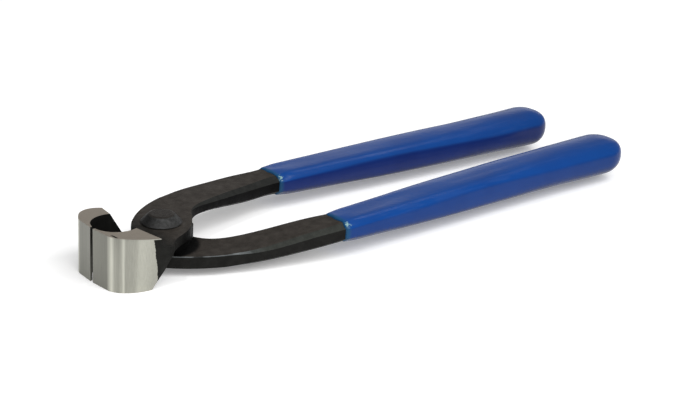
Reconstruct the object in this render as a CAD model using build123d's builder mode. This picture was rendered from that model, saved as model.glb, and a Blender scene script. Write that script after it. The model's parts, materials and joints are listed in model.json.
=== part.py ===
from build123d import *
import math
import os

# Riveted lap-joint pincers, in millimetres. +X runs from the jaws to the handle ends, +Z is up and
# the hinge axis is parallel to Z. The origin is under the middle of the tool, at the foot of the jaws.
# The two levers are the same forging. The upper one has its jaw at -Y and its handle at +Y. The
# lower one is that forging turned over about the tool's long axis.

# Overall sizes
LENGTH = 220.0
JAW_HEIGHT = 18.6
PIVOT_FROM_NOSE = 26.5

# Joint
LAP_TOP = 5.55
LAP_UNDERSIDE = 2.0
LOWER_BAR_EXTRA = 0.75
BOSS_GAP = 0.1
BOSS_RADIUS = 9.3
HEEL_RADIUS = 2.6
HEEL_FROM_PIVOT = 9.6
NECK_CLEARANCE_RADIUS = 12.7
RIVET_RADIUS = 4.0
RUNNING_FIT = 0.05
RIVET_HEAD_RADIUS = 6.9
RIVET_TOP_RADIUS = 4.2
RIVET_HEAD_HEIGHT = 3.3
PEENED_RADIUS = 5.4
PEENED_HEIGHT = 1.6

# Jaws: the faces are ground by hand, so their distances from the tool's centre plane differ
UPPER_JAW_FACE = 0.4
LOWER_JAW_FACE = 1.1
THROAT_RADIUS = 8.0
THROAT_FROM_PIVOT = 17.7

# Grips
UPPER_DIP_LINE = 61.8
LOWER_DIP_LINE = 53.6
GRIP_SHOULDER = 186.0
TANG_START = 60.0
BAR_TAPER_START = 34.0
TANG_END = 183.0

# Worked out from the sizes above. The levers are drawn about the pivot, with the joint's mid-plane
# at zero height, and moved to their place at the end.
NOSE = -PIVOT_FROM_NOSE
GRIP_END = LENGTH - PIVOT_FROM_NOSE
HALF_JAW = JAW_HEIGHT / 2
HALF_BOSS_GAP = BOSS_GAP / 2
PIVOT_PLACE = Vector(PIVOT_FROM_NOSE - LENGTH / 2, 0, HALF_JAW)
NECK_BACK = -8.0
PLATE_CORNER = (NECK_BACK, -18.9)
CUT_DEPTH = 2 * JAW_HEIGHT

# Outer edge of each jaw at the foot of the forging: middle of the side, back of the side, neck
UPPER_FOOT_OUTLINE = ((-20.1, -14.6), (-14.3, -15.7), (NECK_BACK, -15.3))
LOWER_FOOT_OUTLINE = ((-19.8, -15.2), (-14.3, -13.7), (NECK_BACK, -13.9))
HEAD_OUTLINE = ((-19.0, -16.4), (-13.1, -19.2), (NECK_BACK, -20.1))

# Stations along the shank: x, inner y, outer y, underside z, top z, chamfer width, chamfer height.
# The bar starts level with the lap and sinks to the tool's mid-plane before the grip begins.
SHANK_STATIONS = [
    (12.5, 0.6, 19.4, 2.0, 5.55, 0.05, 0.05),
    (17.9, 5.9, 21.5, 1.8, 5.5, 0.7, 0.5),
    (26.0, 8.9, 24.3, 0.9, 5.1, 1.3, 1.0),
    (34.1, 11.4, 26.5, -0.5, 4.5, 1.7, 1.25),
    (42.2, 13.7, 28.5, -1.9, 3.9, 1.9, 1.35),
    (50.2, 15.8, 30.0, -2.9, 3.4, 2.1, 1.5),
]

# The handle runs from HANDLE_START to GRIP_SHOULDER and then rounds off. Its centre line, seen from
# above, and its half width and half height are formulas in the fraction of that run.
HANDLE_START = 34.0
GRIP_STATION_COUNT = 8
TANG_STATION_COUNT = 6
GRIP_CORNER = 0.93
COATING_AT_DIP = 0.8
COATING_AT_END = 2.4
TANG_CHAMFER = 2.4


def handle_section(x):
    """Centre y, half width and half height of the grip at x."""
    fraction = (x - HANDLE_START) / (GRIP_SHOULDER - HANDLE_START)
    centre = 24.3 - 1.2 * fraction - 12.2 * fraction**2 + 8.8 * fraction**3
    return centre, 6.9 + 2.8 * fraction, 3.6 + 3.4 * fraction


def tang_station(x):
    """Station for the tang at x, a coating's thickness inside the grip."""
    centre, half_width, half_height = handle_section(x)
    fraction = (x - TANG_START) / (TANG_END - TANG_START)
    coating = COATING_AT_DIP + (COATING_AT_END - COATING_AT_DIP) * fraction
    wide = half_width - coating
    high = half_height - coating
    return x, centre - wide, centre + wide, -high, high, TANG_CHAMFER, 0.5 * high


def jaw_outline(jaw_face, side_middle, side_back, neck_back):
    """Outer edge of the jaw and neck, from the slot round to the back of the neck."""
    front = (-25.9, -8.9)
    corner = (-25.1, -10.6)
    shoulder = (-24.1, -12.1)
    Polyline((NOSE, -jaw_face), front)
    ThreePointArc(front, corner, shoulder)
    ThreePointArc(shoulder, side_middle, side_back)
    Polyline(side_back, neck_back, (NECK_BACK, -5.0), (NOSE, -jaw_face))


def ramp_outline(slope):
    """Space behind a jaw, seen from the side, that is cut away down to the line of points in slope."""
    edge_z = slope[0][1]
    foot_z = slope[-1][1]
    Polyline(*slope, (0, foot_z), (0, edge_z), close=True)


def bar_outline(x, y_in, y_out, z_low, z_high, wide, high):
    """Cross-section of the shank or tang at a station: a rectangle with its corners cut off."""
    Polyline(
        (y_in, z_low + high),
        (y_in, z_high - high),
        (y_in + wide, z_high),
        (y_out - wide, z_high),
        (y_out, z_high - high),
        (y_out, z_low + high),
        (y_out - wide, z_low),
        (y_in + wide, z_low),
        close=True,
    )


def shank_stations(extra):
    """Stations for a shank forged thicker by extra, the extra fading out towards the tang."""
    stations = []
    for x, y_in, y_out, z_low, z_high, wide, high in SHANK_STATIONS:
        kept = min(1.0, (TANG_START - x) / (TANG_START - BAR_TAPER_START))
        stations.append((x, y_in, y_out, z_low, z_high + kept * extra, wide, high))
    return stations + [tang_station(TANG_START)]


def forge_lever(bore_radius, jaw_face, foot_outline, extra):
    """The lever forging in its upper position, drawn about the pivot, its bar thicker by extra."""
    lap_top = LAP_TOP + extra
    with BuildPart() as lever:
        # Jaw and neck: the side wall leans out towards the top
        with BuildSketch(Plane.XY.offset(-HALF_JAW)):
            with BuildLine():
                jaw_outline(jaw_face, *foot_outline)
            make_face()
        with BuildSketch(Plane.XY.offset(HALF_JAW)):
            with BuildLine():
                jaw_outline(jaw_face, *HEAD_OUTLINE)
            make_face()
        loft(ruled=True)

        # Sloping backs above and below the neck
        with BuildSketch(Plane.XZ.offset(4)):
            with BuildLine():
                ramp_outline([(-15.4, 10.0), (-13.4, lap_top)])
            make_face()
        with BuildSketch(Plane.XZ.offset(24)):
            with BuildLine():
                ramp_outline([(-12.6, 10.0), (-10.6, lap_top)])
            make_face()
        loft(mode=Mode.SUBTRACT)
        with BuildSketch(Plane.XZ.offset(2)):
            with BuildLine():
                ramp_outline([(-15.9, -10.0), (-12.3, -3.0), (-9.5, LAP_UNDERSIDE)])
            make_face()
        with BuildSketch(Plane.XZ.offset(24)):
            with BuildLine():
                ramp_outline([(-13.4, -10.0), (-8.8, -3.0), (-7.2, LAP_UNDERSIDE)])
            make_face()
        loft(mode=Mode.SUBTRACT)

        # Round throat between the jaws, and room for the other lever's lap below this one
        with BuildSketch(Plane.XY.offset(-HALF_JAW)):
            with Locations((-THROAT_FROM_PIVOT, 0)):
                Circle(THROAT_RADIUS)
        extrude(amount=CUT_DEPTH, mode=Mode.SUBTRACT)
        with BuildSketch(Plane.XY.offset(LAP_UNDERSIDE)):
            Circle(NECK_CLEARANCE_RADIUS)
        extrude(amount=-CUT_DEPTH, mode=Mode.SUBTRACT)

        # Lap plate
        with BuildSketch(Plane.XY.offset(LAP_UNDERSIDE)):
            with BuildLine():
                Spline((-12.9, -5.6), (-10.9, 1.2), (-5.5, 8.3), (1.0, 13.7), (12.5, 19.4))
                Line((12.5, 19.4), (12.5, 0.6))
                Spline((12.5, 0.6), (8.2, -5.6), (2.1, -11.2), (-3.8, -14.4), (-6.3, -16.6), PLATE_CORNER)
                Polyline(PLATE_CORNER, (-11.0, -16.5), (-12.9, -5.6))
            make_face()
        extrude(amount=lap_top - LAP_UNDERSIDE)

        # Bearing boss on the underside of the lap, drawn out to a heel at the crotch
        with BuildSketch(Plane.XY.offset(HALF_BOSS_GAP)):
            Circle(BOSS_RADIUS)
            with Locations((HEEL_FROM_PIVOT, 0)):
                Circle(HEEL_RADIUS)
            make_hull()
        extrude(amount=LAP_UNDERSIDE - HALF_BOSS_GAP + 1)

        # Shank
        for station in shank_stations(extra):
            with BuildSketch(Plane.YZ.offset(station[0])):
                with BuildLine():
                    bar_outline(*station)
                make_face()
        loft()

        # Tang inside the grip
        for step in range(TANG_STATION_COUNT):
            station = tang_station(TANG_START + (TANG_END - TANG_START) * step / (TANG_STATION_COUNT - 1))
            with BuildSketch(Plane.YZ.offset(station[0])):
                with BuildLine():
                    bar_outline(*station)
                make_face()
        loft(ruled=True)

        # Rivet bore
        with BuildSketch(Plane.XY):
            Circle(bore_radius)
        extrude(amount=CUT_DEPTH, mode=Mode.SUBTRACT)
    return lever.part


def dip_grip(dip_line, tang):
    """Dipped grip in its upper position, drawn about the pivot, with a pocket for the tang."""
    with BuildPart() as grip:
        run = GRIP_SHOULDER - dip_line
        for step in range(GRIP_STATION_COUNT):
            x = dip_line + run * step / (GRIP_STATION_COUNT - 1)
            centre, half_width, half_height = handle_section(x)
            with BuildSketch(Plane.YZ.offset(x)):
                with Locations((centre, 0)):
                    RectangleRounded(2 * half_width, 2 * half_height, GRIP_CORNER * half_height)
        loft()
        dome_length = GRIP_END - GRIP_SHOULDER
        centre, half_width, half_height = handle_section(GRIP_SHOULDER)
        for angle in range(0, 96, 12):
            size = math.cos(math.radians(0.94 * angle)) ** 0.7
            x = GRIP_SHOULDER + dome_length * math.sin(math.radians(angle)) / math.sin(math.radians(84))
            with BuildSketch(Plane.YZ.offset(x)):
                with Locations((centre, 0)):
                    RectangleRounded(
                        2 * size * half_width,
                        2 * size * half_height,
                        GRIP_CORNER * size * half_height,
                    )
        loft()
        add(tang, mode=Mode.SUBTRACT)
    return grip.part


upper_place = Location(PIVOT_PLACE)
lower_place = Location(PIVOT_PLACE, (180, 0, 0))
upper_forging = forge_lever(RIVET_RADIUS + RUNNING_FIT, UPPER_JAW_FACE, UPPER_FOOT_OUTLINE, 0)
lower_forging = forge_lever(RIVET_RADIUS, LOWER_JAW_FACE, LOWER_FOOT_OUTLINE, LOWER_BAR_EXTRA)

with BuildPart() as upper_lever:
    add(upper_forging.moved(upper_place))
upper_lever.part.label = "upper_lever"

with BuildPart() as lower_lever:
    add(lower_forging.moved(lower_place))
lower_lever.part.label = "lower_lever"

with BuildPart() as pivot_rivet:
    head_foot = LAP_TOP + RUNNING_FIT
    tail_foot = -LAP_TOP - LOWER_BAR_EXTRA
    with BuildSketch(Plane(origin=PIVOT_PLACE, x_dir=(1, 0, 0), z_dir=(0, -1, 0))):
        with BuildLine():
            Polyline(
                (0, tail_foot - PEENED_HEIGHT),
                (PEENED_RADIUS - 2.0, tail_foot - PEENED_HEIGHT),
            )
            ThreePointArc(
                (PEENED_RADIUS - 2.0, tail_foot - PEENED_HEIGHT),
                (PEENED_RADIUS - 0.6, tail_foot - 0.65 * PEENED_HEIGHT),
                (PEENED_RADIUS, tail_foot),
            )
            Polyline(
                (PEENED_RADIUS, tail_foot),
                (RIVET_RADIUS, tail_foot),
                (RIVET_RADIUS, head_foot),
                (RIVET_HEAD_RADIUS - 0.4, head_foot),
                (RIVET_HEAD_RADIUS, head_foot + 0.4),
                (RIVET_TOP_RADIUS + 0.3, head_foot + RIVET_HEAD_HEIGHT - 0.3),
                (RIVET_TOP_RADIUS - 0.5, head_foot + RIVET_HEAD_HEIGHT),
                (0, head_foot + RIVET_HEAD_HEIGHT),
                (0, tail_foot - PEENED_HEIGHT),
            )
        make_face()
    revolve(axis=Axis(PIVOT_PLACE, (0, 0, 1)))
pivot_rivet.part.label = "pivot_rivet"

with BuildPart() as upper_grip:
    add(dip_grip(UPPER_DIP_LINE, upper_forging).moved(upper_place))
upper_grip.part.label = "upper_grip"

with BuildPart() as lower_grip:
    add(dip_grip(LOWER_DIP_LINE, lower_forging).moved(lower_place))
lower_grip.part.label = "lower_grip"

os.makedirs("parts", exist_ok=True)
export_step(upper_lever.part, "parts/upper_lever.step")
export_step(lower_lever.part, "parts/lower_lever.step")
export_step(pivot_rivet.part, "parts/pivot_rivet.step")
export_step(upper_grip.part, "parts/upper_grip.step")
export_step(lower_grip.part, "parts/lower_grip.step")
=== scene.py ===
import json
import math

import bmesh
import bpy
from mathutils import Matrix, Vector, noise


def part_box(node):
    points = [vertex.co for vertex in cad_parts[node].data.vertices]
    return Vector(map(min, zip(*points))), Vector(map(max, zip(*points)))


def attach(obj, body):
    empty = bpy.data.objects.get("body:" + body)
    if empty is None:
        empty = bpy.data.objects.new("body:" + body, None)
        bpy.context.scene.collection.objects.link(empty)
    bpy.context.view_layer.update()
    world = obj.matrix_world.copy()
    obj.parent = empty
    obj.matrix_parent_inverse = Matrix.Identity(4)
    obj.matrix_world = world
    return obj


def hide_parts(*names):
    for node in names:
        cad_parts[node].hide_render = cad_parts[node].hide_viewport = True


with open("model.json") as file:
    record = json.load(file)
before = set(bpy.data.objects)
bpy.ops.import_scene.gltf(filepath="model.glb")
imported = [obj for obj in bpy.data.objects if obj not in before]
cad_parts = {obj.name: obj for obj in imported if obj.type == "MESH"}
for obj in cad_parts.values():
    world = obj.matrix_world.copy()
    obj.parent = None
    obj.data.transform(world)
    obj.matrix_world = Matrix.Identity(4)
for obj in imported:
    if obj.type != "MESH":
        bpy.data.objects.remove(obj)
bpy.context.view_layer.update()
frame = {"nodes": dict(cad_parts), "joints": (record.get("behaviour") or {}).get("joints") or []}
nodes = frame["nodes"]
hinge = Vector(frame["joints"][0]["pos_m"])
scene = bpy.context.scene
scene.view_settings.view_transform = "Standard"

# Metres in a millimetre. Positions on the tool are in millimetres from the hinge.
MM = 0.001


# ---------------------------------------------------------------- camera
CAMERA_TARGET = Vector((-0.00887, -0.00666, hinge.z))
CAMERA_DISTANCE = 0.663
CAMERA_YAW = -0.703
CAMERA_PITCH = 0.3643
CAMERA_ROLL = 0.0463
CAMERA_LENS = 97.71
SENSOR_WIDTH = 36

camera_data = bpy.data.cameras.new("camera")
camera = bpy.data.objects.new("camera", camera_data)
scene.collection.objects.link(camera)
scene.camera = camera
camera_data.sensor_width = SENSOR_WIDTH
camera_data.lens = CAMERA_LENS
camera_data.clip_start = 0.01

right = Vector((math.cos(CAMERA_YAW), math.sin(CAMERA_YAW), 0))
back = Vector((
    math.sin(CAMERA_YAW) * math.cos(CAMERA_PITCH),
    -math.cos(CAMERA_YAW) * math.cos(CAMERA_PITCH),
    math.sin(CAMERA_PITCH),
))
up = back.cross(right)
axis_x = math.cos(CAMERA_ROLL) * right + math.sin(CAMERA_ROLL) * up
axis_y = math.cos(CAMERA_ROLL) * up - math.sin(CAMERA_ROLL) * right
camera.matrix_world = Matrix.Translation(CAMERA_TARGET + CAMERA_DISTANCE * back) @ Matrix(
    (axis_x, axis_y, back)
).transposed().to_4x4()


# ---------------------------------------------------------------- node helpers
class Nodes:
    """Builds a material's node tree from short calls."""

    def __init__(self, material):
        material.use_nodes = True
        self.tree = material.node_tree
        self.tree.nodes.clear()
        self.shader = self.add("ShaderNodeBsdfPrincipled")
        output = self.add("ShaderNodeOutputMaterial")
        self.link(self.shader.outputs[0], output.inputs["Surface"])

    def add(self, kind, **settings):
        node = self.tree.nodes.new(kind)
        for key, value in settings.items():
            setattr(node, key, value)
        return node

    def link(self, source, target):
        self.tree.links.new(source, target)

    def put(self, socket, value):
        if isinstance(value, bpy.types.NodeSocket):
            self.link(value, socket)
        else:
            socket.default_value = value

    def math(self, operation, a, b=0.0):
        node = self.add("ShaderNodeMath", operation=operation)
        self.put(node.inputs[0], a)
        self.put(node.inputs[1], b)
        return node.outputs[0]

    def vector(self, operation, a, b):
        node = self.add("ShaderNodeVectorMath", operation=operation)
        self.put(node.inputs[0], a)
        self.put(node.inputs[1], b)
        return node.outputs[1 if operation in ("DISTANCE", "LENGTH") else 0]

    def step(self, value, low, high, to_low=0.0, to_high=1.0):
        """Goes smoothly from to_low to to_high as value goes from low to high."""
        node = self.add("ShaderNodeMapRange", interpolation_type="SMOOTHSTEP")
        self.put(node.inputs["Value"], value)
        node.inputs["From Min"].default_value = low
        node.inputs["From Max"].default_value = high
        node.inputs["To Min"].default_value = to_low
        node.inputs["To Max"].default_value = to_high
        return node.outputs[0]

    def noise(self, vector, scale, detail=3.0, roughness=0.55):
        node = self.add("ShaderNodeTexNoise")
        self.put(node.inputs["Vector"], vector)
        node.inputs["Scale"].default_value = scale
        node.inputs["Detail"].default_value = detail
        node.inputs["Roughness"].default_value = roughness
        return node.outputs[0]

    def mix(self, factor, a, b):
        node = self.add("ShaderNodeMix", data_type="RGBA")
        self.put(node.inputs[0], factor)
        self.put(node.inputs[6], a)
        self.put(node.inputs[7], b)
        return node.outputs[2]

    def blend(self, factor, a, b):
        node = self.add("ShaderNodeMix", data_type="FLOAT")
        self.put(node.inputs[0], factor)
        self.put(node.inputs[2], a)
        self.put(node.inputs[3], b)
        return node.outputs[0]

    def split(self, vector):
        node = self.add("ShaderNodeSeparateXYZ")
        self.put(node.inputs[0], vector)
        return node.outputs

    def bump(self, height, distance):
        node = self.add("ShaderNodeBump")
        self.put(node.inputs["Height"], height)
        node.inputs["Distance"].default_value = distance
        node.inputs["Strength"].default_value = 1.0
        return node.outputs[0]

    def line(self, value, slope, offset):
        """value times slope, plus offset."""
        node = self.add("ShaderNodeMath", operation="MULTIPLY_ADD")
        self.put(node.inputs[0], value)
        node.inputs[1].default_value = slope
        node.inputs[2].default_value = offset
        return node.outputs[0]

    def about_hinge(self, turned_over=False):
        """Millimetres from the hinge, and the surface's own normal, both in the forging's own frame."""
        coordinates = self.add("ShaderNodeTexCoord")
        flip = (1, -1, -1) if turned_over else (1, 1, 1)
        place = self.vector("SUBTRACT", coordinates.outputs["Object"], tuple(hinge))
        place = self.vector("MULTIPLY", place, tuple(f / MM for f in flip))
        return place, self.vector("MULTIPLY", coordinates.outputs["Normal"], flip)


HANDLE_START = 34.0
HANDLE_END = 186.0


def handle_section(x):
    """Centre y, half width and half height of the grip at x."""
    part = (x - HANDLE_START) / (HANDLE_END - HANDLE_START)
    centre = 24.3 - 1.2 * part - 12.2 * part**2 + 8.8 * part**3
    return centre, 6.9 + 2.7 * part, 3.6 + 3.4 * part


# ---------------------------------------------------------------- materials
# Phosphate skin in painted lit and shaded copies: flats and chamfers lighter as lit faces; sides, neck and
# inner walls darker as shaded faces
SKIN_LIT_FLAT = (0.033, 0.0285, 0.0245, 1)
SKIN_SHADED_INNER = (0.0018, 0.0017, 0.0017, 1)
SKIN_SHADED_SIDE = (0.0100, 0.0098, 0.0090, 1)
SKIN_SHADED_NECK = (0.0105, 0.0105, 0.0095, 1)
SKIN_LIT_CHAMFER = (0.029, 0.031, 0.0275, 1)
SKIN_SHADED_INNER_CHAMFER = (0.017, 0.0175, 0.0165, 1)
SKIN_EDGE_HIGHLIGHT = (0.12, 0.13, 0.133, 1)
SKIN_GAP_SHADE = (0.0015, 0.0015, 0.0014, 1)
SKIN_THROAT = (0.0042, 0.0042, 0.0038, 1)
GROUND_SIDE = (0.548, 0.545, 0.475, 1)
GROUND_FLAT = (0.445, 0.388, 0.318, 1)

# Tone of the hand-ground bands round the jaw, painted brighter and darker as the grinding facets would
# reflect the studio (painted reflection): angle about the throat in degrees, share of full brightness
JAW_FACET_REFLECTION_BANDS = (
    (0, 0.37),
    (43, 0.34),
    (47, 0.60),
    (51.5, 1.0),
    (56, 0.60),
    (61, 0.52),
    (65, 0.60),
    (67.5, 0.90),
    (70, 0.55),
    (80, 0.58),
    (87, 0.76),
    (104, 0.66),
)


THROAT_X = -17.7
THROAT_RADIUS = 8.0
JAW_FLAT_Z = 9.0
JAW_BACK = -9.0

# The ground part of a jaw ends at a line on its side, x = offset + slope * z
RUN_OUT_SLOPE = -0.186
RUN_OUT_OFFSET = -13.45

# A thin strip on the jaw's flat that the grinder missed, x = offset + slope * y
SLIVER_SLOPE = -0.105
SLIVER_OFFSET = -25.45
SLIVER_Y = -9.9

BAND_SPAN = 120
FLAT_GRAIN_SHADE = 0.82
LEVER_EDGE = 0.42
RIVET_EDGE = 0.15
SHARP_ANGLE = 25


def lever_material(name, turned_over):
    """Black phosphated forging with its jaw ground bright on the outside and on the flats."""
    material = bpy.data.materials.new(name)
    n = Nodes(material)
    place, normal = n.about_hinge(turned_over)
    x, y, z = n.split(place)
    nx, ny, nz = n.split(normal)
    level = n.math("ABSOLUTE", nz)
    from_throat = n.vector("MULTIPLY", n.vector("SUBTRACT", place, (THROAT_X, 0, 0)), (1, 1, 0))
    radius = n.vector("LENGTH", from_throat, (0, 0, 0))

    # Where the jaw is ground: in front of an uneven run-out line, outside the throat
    ragged = n.noise(place, 0.36, detail=3.0)
    run_out = n.line(z, RUN_OUT_SLOPE, RUN_OUT_OFFSET)
    run_out = n.math("ADD", run_out, n.step(ragged, 0.3, 0.7, -0.25, 0.25))
    in_front = n.step(n.math("SUBTRACT", run_out, x), -0.05, 0.05)
    flats = n.step(n.math("ABSOLUTE", z), JAW_FLAT_Z - 0.05, JAW_FLAT_Z + 0.05)
    outside = n.step(radius, THROAT_RADIUS + 0.02, THROAT_RADIUS + 0.10)
    not_ramp = n.step(nx, 0.45, 0.3)
    jaw = n.step(x, JAW_BACK, JAW_BACK - 0.5)
    ground = n.math("MAXIMUM", in_front, n.math("MULTIPLY", flats, jaw))
    ground = n.math("MULTIPLY", ground, n.math("MULTIPLY", outside, not_ramp))
    sliver_x = n.line(y, SLIVER_SLOPE, SLIVER_OFFSET)
    missed = n.step(n.math("ABSOLUTE", n.math("SUBTRACT", x, sliver_x)), 0.42, 0.30)
    missed = n.math("MULTIPLY", missed, n.step(n.math("ABSOLUTE", n.math("SUBTRACT", y, SLIVER_Y)), 2.3, 0.9))
    on_top = n.math("MULTIPLY", n.step(z, JAW_FLAT_Z - 0.2, JAW_FLAT_Z), n.step(nz, 0.3, 0.7))
    missed = n.math("MULTIPLY", missed, on_top)
    ground = n.math("MULTIPLY", ground, n.math("SUBTRACT", 1.0, missed))

    # Grinding marks: bands along the jaw's height, painted brighter and darker as reflections of the studio
    # in the ground facets, fine lines along the jaw's height, fine grain on the flats
    tx, ty = n.split(from_throat)[:2]
    turn = n.math("ARCTAN2", n.math("MULTIPLY", ty, -1.0), n.math("MULTIPLY", tx, -1.0))
    upright = n.vector("MULTIPLY", place, (1, 1, 0.03))
    waver = n.noise(upright, 0.5, detail=2.0)
    lines = n.noise(upright, 5.0, detail=3.0, roughness=0.7)
    degrees = n.math("MULTIPLY", turn, 180 / math.pi)
    degrees = n.math("ADD", degrees, n.step(waver, 0.2, 0.8, -1.2, 1.2))
    reflection_bands = n.add("ShaderNodeValToRGB")
    reflection_bands.color_ramp.interpolation = "EASE"
    n.link(n.math("MULTIPLY", degrees, 1 / BAND_SPAN), reflection_bands.inputs[0])
    stops = reflection_bands.color_ramp.elements
    for index, (angle, tone) in enumerate(JAW_FACET_REFLECTION_BANDS):
        stop = stops[index] if index < 2 else stops.new(angle / BAND_SPAN)
        stop.position = angle / BAND_SPAN
        stop.color = (tone, tone, tone, 1)
    tone = n.math("MULTIPLY", reflection_bands.outputs[0], n.step(lines, 0.15, 0.85, 0.86, 1.12))
    side_colour = n.mix(tone, (0, 0, 0, 1), GROUND_SIDE)
    across = n.vector("MULTIPLY", place, (0.25, 1, 1))
    grain = n.noise(across, 6.0, detail=3.0, roughness=0.7)
    darker_flat = tuple(FLAT_GRAIN_SHADE * channel for channel in GROUND_FLAT[:3]) + (1,)
    flat_colour = n.mix(n.step(grain, 0.2, 0.8), darker_flat, GROUND_FLAT)
    is_flat = n.step(level, 0.6, 0.9)
    ground_colour = n.mix(is_flat, side_colour, flat_colour)

    # Forging skin: flats painted lighter as lit faces, fading to the shaded side tone towards the neck; sides
    # and neck painted darker as shaded faces, inner walls darker still as painted shade; a painted highlight
    # along the outer edges; blacker in the throat
    mottle = n.noise(place, 0.35, detail=5.0)
    pits = n.noise(place, 3.2, detail=4.0, roughness=0.7)
    skin_tone = n.math("ADD", n.math("MULTIPLY", mottle, 0.6), n.math("MULTIPLY", pits, 0.4))
    shaded_inner = n.math("MULTIPLY", n.step(ny, -0.1, -0.4), n.step(x, -5.0, 3.0))
    shaded_side_skin = n.mix(shaded_inner, n.mix(n.step(x, -5.0, -9.0), SKIN_SHADED_SIDE, SKIN_SHADED_NECK), SKIN_SHADED_INNER)
    lit_flat_skin = n.mix(n.step(x, -11.0, -1.0), SKIN_SHADED_SIDE, SKIN_LIT_FLAT)
    skin_colour = n.mix(n.step(level, 0.25, 0.95), shaded_side_skin, lit_flat_skin)
    # Sloping faces of the bar's chamfers: painted lighter as lit faces, and darker on the inner side as
    # shaded ones
    chamfer = n.math("MULTIPLY", n.step(level, 0.35, 0.6), n.step(level, 0.95, 0.88))
    chamfer = n.math("MULTIPLY", chamfer, n.step(x, 10.0, 16.0))
    skin_colour = n.mix(chamfer, skin_colour, n.mix(shaded_inner, SKIN_LIT_CHAMFER, SKIN_SHADED_INNER_CHAMFER))
    # Painted highlight, with some rubbed wear, along the outer edge of the bar where it catches the light,
    # and its run along the rim of the lap; outer side only
    edge_highlight = n.math("MULTIPLY", n.step(level, 0.3, 0.5), n.step(level, 0.985, 0.95))
    edge_highlight = n.math("MULTIPLY", edge_highlight, n.math("MULTIPLY", n.step(x, 1.0, 3.0), n.step(x, 26.0, 14.0)))
    edge_highlight = n.math("MULTIPLY", edge_highlight, n.step(ny, 0.1, 0.3))
    edge_highlight = n.math("MULTIPLY", edge_highlight, n.step(n.noise(place, 0.22, detail=2.0), 0.40, 0.50, 0.5, 1.0))
    rim_highlight = n.math("MULTIPLY", n.step(z, 2.5, 2.2), n.step(level, 0.5, 0.3))
    rim_highlight = n.math("MULTIPLY", rim_highlight, n.math("MULTIPLY", n.step(x, -4.0, -2.5), n.step(x, 17.0, 12.0)))
    from_gap = n.math("ABSOLUTE", n.math("SUBTRACT", x, 4.0))
    rim_highlight = n.math("MULTIPLY", rim_highlight, n.step(from_gap, 1.0, 1.8, 0.15, 0.8))
    edge_highlight = n.math("MAXIMUM", edge_highlight, n.math("MULTIPLY", rim_highlight, n.step(ny, 0.2, 0.4)))
    skin_colour = n.mix(edge_highlight, skin_colour, SKIN_EDGE_HIGHLIGHT)
    throat_wall = n.step(radius, THROAT_RADIUS + 0.6, THROAT_RADIUS + 0.2)
    skin_colour = n.mix(throat_wall, skin_colour, SKIN_THROAT)
    # Painted shade in the gap between the laps, where the upper lap shades the lower one near the pivot
    from_pivot = n.vector("LENGTH", n.vector("MULTIPLY", place, (1, 1, 0)), (0, 0, 0))
    gap_shade = n.math("MULTIPLY", n.step(from_pivot, 13.6, 11.8), n.step(z, 2.15, 2.02))
    gap_shade = n.math("MULTIPLY", gap_shade, n.step(x, -11.0, -8.0))
    skin_colour = n.mix(gap_shade, skin_colour, SKIN_GAP_SHADE)
    skin_colour = n.vector("MULTIPLY", skin_colour, n.step(skin_tone, 0.3, 0.7, 0.72, 1.28))

    n.put(n.shader.inputs["Base Color"], n.mix(ground, skin_colour, ground_colour))
    n.put(n.shader.inputs["Metallic"], ground)
    ground_roughness = n.blend(is_flat, n.step(lines, 0.2, 0.8, 0.26, 0.40), 0.42)
    skin_roughness = n.step(skin_tone, 0.3, 0.7, 0.66, 0.52)
    n.put(n.shader.inputs["Roughness"], n.blend(ground, skin_roughness, ground_roughness))
    n.shader.inputs["Specular IOR Level"].default_value = 0.06

    facets = n.math("MULTIPLY", waver, n.math("SUBTRACT", 1.0, is_flat))
    ground_height = n.math("ADD", n.math("MULTIPLY", facets, 0.25), n.math("MULTIPLY", lines, 0.03))
    skin_height = n.math("ADD", n.math("MULTIPLY", mottle, 0.4), n.math("MULTIPLY", pits, 0.10))
    height = n.blend(ground, skin_height, ground_height)
    n.put(n.shader.inputs["Normal"], n.bump(height, 0.35 * MM))
    return material


RIVET_FLANK = ((0.013, 0.0130, 0.0127, 1), (0.031, 0.0315, 0.0315, 1))
RIVET_FACE = ((0.014, 0.0120, 0.0103, 1), (0.023, 0.0197, 0.0170, 1))


def rivet_material():
    """Black phosphated rivet, smoother than the forgings."""
    material = bpy.data.materials.new("rivet_phosphated")
    n = Nodes(material)
    place, normal = n.about_hinge()
    mottle = n.noise(place, 0.9, detail=4.0)
    pits = n.noise(place, 5.0, detail=3.0, roughness=0.7)
    tone = n.math("ADD", n.math("MULTIPLY", mottle, 0.6), n.math("MULTIPLY", pits, 0.4))
    ny, nz = n.split(normal)[1:]
    flank = n.mix(n.step(tone, 0.35, 0.65), *RIVET_FLANK)
    face = n.mix(n.step(tone, 0.35, 0.65), *RIVET_FACE)
    # Painted light and shade on the flank: lighter where it faces the front (-y), half as bright where it
    # faces sideways and back
    flank = n.vector("MULTIPLY", flank, n.step(ny, 0.0, -0.65, 0.5, 1.5))
    n.put(n.shader.inputs["Base Color"], n.mix(n.step(nz, 0.8, 0.97), flank, face))
    n.put(n.shader.inputs["Roughness"], n.step(tone, 0.35, 0.65, 0.55, 0.42))
    n.put(n.shader.inputs["Normal"], n.bump(tone, 0.12 * MM))
    n.shader.inputs["Specular IOR Level"].default_value = 0.09
    return material


VINYL = ((0.0030, 0.041, 0.200, 1), (0.0036, 0.048, 0.225, 1))
VINYL_HIGHLIGHT_STREAK = (0.020, 0.062, 0.230, 1)
VINYL_FILM = (0.010, 0.070, 0.12, 1)
VINYL_GLINT = (0.22, 0.36, 0.36, 1)
FILM_LENGTH = 2.2


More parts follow.
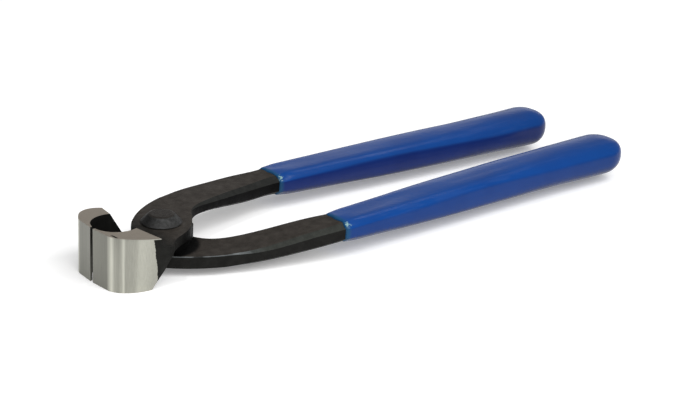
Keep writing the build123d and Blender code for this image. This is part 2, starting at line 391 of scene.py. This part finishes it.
def vinyl_material(name, dip_x, middle_y, side_shade_tint):
    """Dip-moulded vinyl of even colour, greener in the film at the dip line; painted glints at the dip line's
    upper corners, painted highlight streaks on the upper faces, painted shade on the sides and underneath,
    and a little darker towards the end.
    """
    material = bpy.data.materials.new(name)
    n = Nodes(material)
    place, normal = n.about_hinge()
    x, y, z = n.split(place)
    level = n.split(normal)[2]
    drift = n.noise(place, 0.05, detail=2.0)
    peel = n.noise(place, 0.9, detail=2.0)
    blue = n.mix(n.step(drift, 0.3, 0.7), *VINYL)
    # Painted shade: faces turned sideways darker and more purple than the upper faces, each grip with its own
    # tint
    side = n.vector("MULTIPLY", blue, side_shade_tint)
    # Painted highlight streaks on the upper faces
    streak = n.noise(n.vector("MULTIPLY", place, (0.045, 0.42, 0.42)), 1.0, detail=4.0)
    highlight_streaked = n.mix(n.step(streak, 0.50, 0.62, 0.0, 0.35), blue, VINYL_HIGHLIGHT_STREAK)
    colour = n.mix(n.step(level, 0.15, 0.45), side, highlight_streaked)
    # Painted shade underneath: faces turned down are darker
    colour = n.vector("MULTIPLY", colour, n.step(level, -0.1, -0.7, 1.0, 0.6))
    colour = n.vector("MULTIPLY", colour, n.step(x, 150.0, 182.0, 1.0, 0.86))
    film = n.step(x, dip_x + FILM_LENGTH, dip_x)
    colour = n.mix(n.math("MULTIPLY", film, 0.65), colour, VINYL_FILM)
    # Painted glint where the dip line meets the upper corners of the grip
    width, height = handle_section(dip_x)[1:]
    across = n.math("ABSOLUTE", n.math("SUBTRACT", y, middle_y))
    corner = n.add("ShaderNodeCombineXYZ")
    for axis, value in enumerate((x, across, z)):
        n.link(value, corner.inputs[axis])
    away = n.vector("DISTANCE", corner.outputs[0], (dip_x + 0.9, width - 1.2, 0.8 * height))
    speckle = n.noise(place, 1.6, detail=3.0)
    away = n.math("ADD", away, n.step(speckle, 0.3, 0.7, -0.7, 0.9))
    painted_glint = n.math("MULTIPLY", n.step(away, 1.15, 0.6), n.step(peel, 0.3, 0.5, 0.5, 0.95))
    colour = n.mix(painted_glint, colour, VINYL_GLINT)
    n.put(n.shader.inputs["Base Color"], colour)
    n.put(n.shader.inputs["Roughness"], n.blend(film, n.step(drift, 0.3, 0.7, 0.26, 0.18), 0.12))
    n.put(n.shader.inputs["Normal"], n.bump(peel, 0.06 * MM))
    n.shader.inputs["Specular IOR Level"].default_value = 0.12
    n.shader.inputs["Coat Weight"].default_value = 0.05
    n.shader.inputs["Coat Roughness"].default_value = 0.12
    return material


# ---------------------------------------------------------------- steel parts
def finish_steel(node, material, width):
    """Rounds the edges of a CAD node and gives it its material."""
    part = nodes[node]
    weld = part.modifiers.new("weld", "WELD")
    weld.merge_threshold = 0.002 * MM
    bevel = part.modifiers.new("edges", "BEVEL")
    bevel.width = width * MM
    bevel.segments = 3
    bevel.limit_method = "ANGLE"
    bevel.angle_limit = math.radians(SHARP_ANGLE)
    bevel.harden_normals = True
    for slot in part.material_slots:
        slot.material = material


finish_steel("upper_lever", lever_material("upper_forging", False), LEVER_EDGE)
finish_steel("lower_lever", lever_material("lower_forging", True), LEVER_EDGE)
finish_steel("pivot_rivet", rivet_material(), RIVET_EDGE)


# ---------------------------------------------------------------- grips
SHOULDER = 183.5
TANG_START = 60.0
TANG_RUN = 123.0
TANG_CHAMFER = 2.4
COATING_AT_DIP = 0.8
COATING_GAIN = 1.6
POCKET_END = 181.0
POCKET_OVERLAP = 0.05
ROUNDING_RUN = 120.0
FULL_LIP = 0.78
LIP_LENGTH = 1.2
LIP_FADE = 4.0
AROUND = 72
BODY_RINGS = 56
END_RINGS = 14
END_ROUNDNESS = 0.78
END_LIFT = 1.0
UPPER_GRIP_SHORTER = 1.4

# The film at the dip line: distance from the line, thickness over the steel
LIP = (
    (-0.10, -0.30),
    (0.00, 0.10),
    (0.10, 0.42),
    (0.35, 0.66),
    (0.80, 0.76),
    (LIP_LENGTH, FULL_LIP),
)


def tang_reach(x, direction):
    """Distance from the handle's centre line to the steel's surface, across the handle at x."""
    half_width, half_height = handle_section(x)[1:]
    part = min(max((x - TANG_START) / TANG_RUN, 0.0), 1.0)
    coating = COATING_AT_DIP + COATING_GAIN * part
    wide = half_width - coating
    high = half_height - coating
    chamfer_z = 0.5 * high
    slope = Vector((chamfer_z, TANG_CHAMFER)).normalized()
    sides = (
        (Vector((1, 0)), wide),
        (Vector((0, 1)), high),
        (slope, slope.dot(Vector((wide, high - chamfer_z)))),
    )
    reach = []
    for outward, distance in sides:
        along = outward.x * abs(direction.x) + outward.y * abs(direction.y)
        if along > 1e-6:
            reach.append(distance / along)
    return min(reach)


def vinyl_reach(x, direction, size=1.0):
    """Distance from the handle's centre line to the vinyl's surface: the tang's facets, ever rounder."""
    half_width, half_height = handle_section(min(x, SHOULDER))[1:]
    part = min(max((x - TANG_START) / ROUNDING_RUN, 0.0), 1.0)
    slope = Vector((0.5 * half_height, TANG_CHAMFER)).normalized()
    chamfer = slope.dot(Vector((half_width, 0.5 * half_height)))
    power = 20.0 * (1 - part) ** 3 + 2.5
    total = abs(direction.x / half_width) ** power
    total += abs(direction.y / half_height) ** power
    across = slope.x * abs(direction.x) + slope.y * abs(direction.y)
    total += (1 - part) ** 2 * (across / chamfer) ** power
    return size * total ** (-1.0 / power)


def build_grip(name, node, body, dip_x, end_x, side, seed, side_shade_tint):
    """The vinyl coat over one tang: outer skin from the dip line to the end, and the pocket inside.

    The upper lever's handle lies at side 1 and the lower lever's, turned over, at side -1.
    """
    rings = []

    def ring(x, reach_at, centre):
        points = []
        for step in range(AROUND):
            angle = 2 * math.pi * step / AROUND
            direction = Vector((math.cos(angle), math.sin(angle)))
            reach = reach_at(direction)
            points.append((x, centre + reach * direction.x, reach * direction.y))
        rings.append(points)

    # Pocket, from its far end back to the dip line
    for x in (POCKET_END, 0.5 * (POCKET_END + dip_x), dip_x + 4.0, dip_x + 0.4):
        ring(x, lambda d, x=x: tang_reach(x, d) - POCKET_OVERLAP, handle_section(x)[0])
    # Lip: a thin film that thickens quickly behind the dip line
    for offset, thickness in LIP:
        x = dip_x + offset
        ring(x, lambda d, x=x, t=thickness: tang_reach(x, d) + t, handle_section(x)[0])
    # Body
    for step in range(1, BODY_RINGS + 1):
        x = dip_x + LIP_LENGTH + (SHOULDER - dip_x - LIP_LENGTH) * step / BODY_RINGS
        full = min((x - dip_x - LIP_LENGTH) / LIP_FADE, 1.0)
        full = full * full * (3 - 2 * full)
        ring(
            x,
            lambda d, x=x, f=full: (1 - f) * (tang_reach(x, d) + FULL_LIP) + f * vinyl_reach(x, d),
            handle_section(x)[0],
        )
    # Rounded end
    centre = handle_section(SHOULDER)[0]
    for step in range(1, END_RINGS):
        angle = 0.5 * math.pi * step / END_RINGS
        x = SHOULDER + (end_x - SHOULDER) * math.sin(angle)
        size = math.cos(angle) ** END_ROUNDNESS
        ring(x, lambda d, s=size: vinyl_reach(SHOULDER, d, s), centre)

    # Hand-dipped unevenness: a slight swell along the coat and a wavering dip line
    vertices = []
    for points in rings:
        for x, y, z in points:
            swell = noise.noise(Vector((0.045 * x, 0.14 * y, 0.14 * z + seed))) * 0.16
            if x < dip_x + 3:
                swell *= 0.3
            along_edge = noise.noise(Vector((seed, 0.35 * y, 0.35 * z))) * 0.45
            shift = along_edge * max(0.0, 1 - abs(x - dip_x) / 6.0)
            middle = handle_section(min(x, SHOULDER))[0]
            factor = 1 + swell / max(math.hypot(y - middle, z), 1.0)
            y = middle + (y - middle) * factor
            lift = END_LIFT * max(0.0, (x - SHOULDER) / (end_x - SHOULDER)) ** 2
            z = z * factor + side * lift
            vertices.append((hinge.x + (x + shift) * MM, hinge.y + side * y * MM, hinge.z + side * z * MM))
    faces = []
    for k in range(len(rings) - 1):
        for j in range(AROUND):
            nxt = (j + 1) % AROUND
            faces.append((k * AROUND + j, k * AROUND + nxt, (k + 1) * AROUND + nxt, (k + 1) * AROUND + j))
    tip = len(vertices)
    vertices.append((hinge.x + end_x * MM, hinge.y + side * centre * MM, hinge.z + END_LIFT * MM))
    last = (len(rings) - 1) * AROUND
    for j in range(AROUND):
        faces.append((last + j, last + (j + 1) % AROUND, tip))
    heel = len(vertices)
    heel_y = side * handle_section(POCKET_END)[0]
    vertices.append((hinge.x + POCKET_END * MM, hinge.y + heel_y * MM, hinge.z))
    for j in range(AROUND):
        faces.append(((j + 1) % AROUND, j, heel))
    mesh = bpy.data.meshes.new(name)
    mesh.from_pydata(vertices, [], faces)
    mesh.validate()
    for polygon in mesh.polygons:
        polygon.use_smooth = True
    piece = bpy.data.objects.new(name, mesh)
    scene.collection.objects.link(piece)
    bm = bmesh.new()
    bm.from_mesh(mesh)
    bmesh.ops.recalc_face_normals(bm, faces=bm.faces)
    bm.to_mesh(mesh)
    bm.free()
    smooth = piece.modifiers.new("smooth", "SUBSURF")
    smooth.levels = 1
    smooth.render_levels = 1
    middle_y = side * handle_section(dip_x)[0]
    mesh.materials.append(vinyl_material(name + "_vinyl", dip_x, middle_y, side_shade_tint))
    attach(piece, body)
    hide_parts(node)


upper_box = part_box("upper_grip")
lower_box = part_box("lower_grip")
upper_dip = (upper_box[0].x - hinge.x) / MM
lower_dip = (lower_box[0].x - hinge.x) / MM
grip_end = (upper_box[1].x - hinge.x) / MM
build_grip(
    "upper_grip_coat",
    "upper_grip",
    "upper_half",
    upper_dip,
    grip_end - UPPER_GRIP_SHORTER,
    side=1,
    seed=3.0,
    side_shade_tint=(1.9, 0.42, 0.52),
)
build_grip(
    "lower_grip_coat",
    "lower_grip",
    "lower_half",
    lower_dip,
    grip_end,
    side=-1,
    seed=11.0,
    side_shade_tint=(1.1, 0.72, 0.76),
)


# ---------------------------------------------------------------- stage and light
FLOOR_REACH = 4.0
FLOOR_DROP = 0.0001
FLOOR_COLOUR = (0.92, 0.92, 0.92, 1)
FLOOR_GLOW = 0.20
WORLD_STRENGTH = 0.34


def area_light(name, place, size, power, aim=(0, 0, 0), size_y=None):
    """A rectangular light at place, in metres, turned to face aim."""
    data = bpy.data.lights.new(name, "AREA")
    data.shape = "RECTANGLE"
    data.size = size
    data.size_y = size_y or size
    data.energy = power
    light = bpy.data.objects.new(name, data)
    scene.collection.objects.link(light)
    light.location = place
    light.rotation_euler = (Vector(place) - Vector(aim)).to_track_quat("Z", "Y").to_euler()


floor_mesh = bpy.data.meshes.new("floor")
corners = [(FLOOR_REACH * x, FLOOR_REACH * y, 0) for x, y in ((-1, -1), (1, -1), (1, 1), (-1, 1))]
floor_mesh.from_pydata(corners, [], [(0, 1, 2, 3)])
floor = bpy.data.objects.new("floor", floor_mesh)
scene.collection.objects.link(floor)
floor.location.z = -FLOOR_DROP
floor_material = bpy.data.materials.new("floor_paper")
floor_nodes = Nodes(floor_material)
floor_nodes.shader.inputs["Base Color"].default_value = FLOOR_COLOUR
floor_nodes.shader.inputs["Roughness"].default_value = 0.9
floor_nodes.shader.inputs["Emission Color"].default_value = (1, 1, 1, 1)
floor_nodes.shader.inputs["Emission Strength"].default_value = FLOOR_GLOW
floor_nodes.shader.inputs["Specular IOR Level"].default_value = 0.1
floor_mesh.materials.append(floor_material)

area_light("key", (-0.12, -1.45, 1.50), 2.2, 41.0, size_y=1.5)
area_light("rear", (0.62, 0.73, 0.24), 1.0, 0.48, size_y=0.2)
area_light("top", (0.50, 0.02, 0.75), 0.45, 0.5, aim=(0.05, 0, 0), size_y=0.14)
area_light("side", (0.24, -0.40, 0.70), 0.20, 0.6)
area_light("accent", (-0.44, -0.20, 0.64), 0.02, 0.8)

world = bpy.data.worlds.new("studio")
scene.world = world
world.use_nodes = True
background = world.node_tree.nodes["Background"]
background.inputs["Color"].default_value = (1, 1, 1, 1)
background.inputs["Strength"].default_value = WORLD_STRENGTH
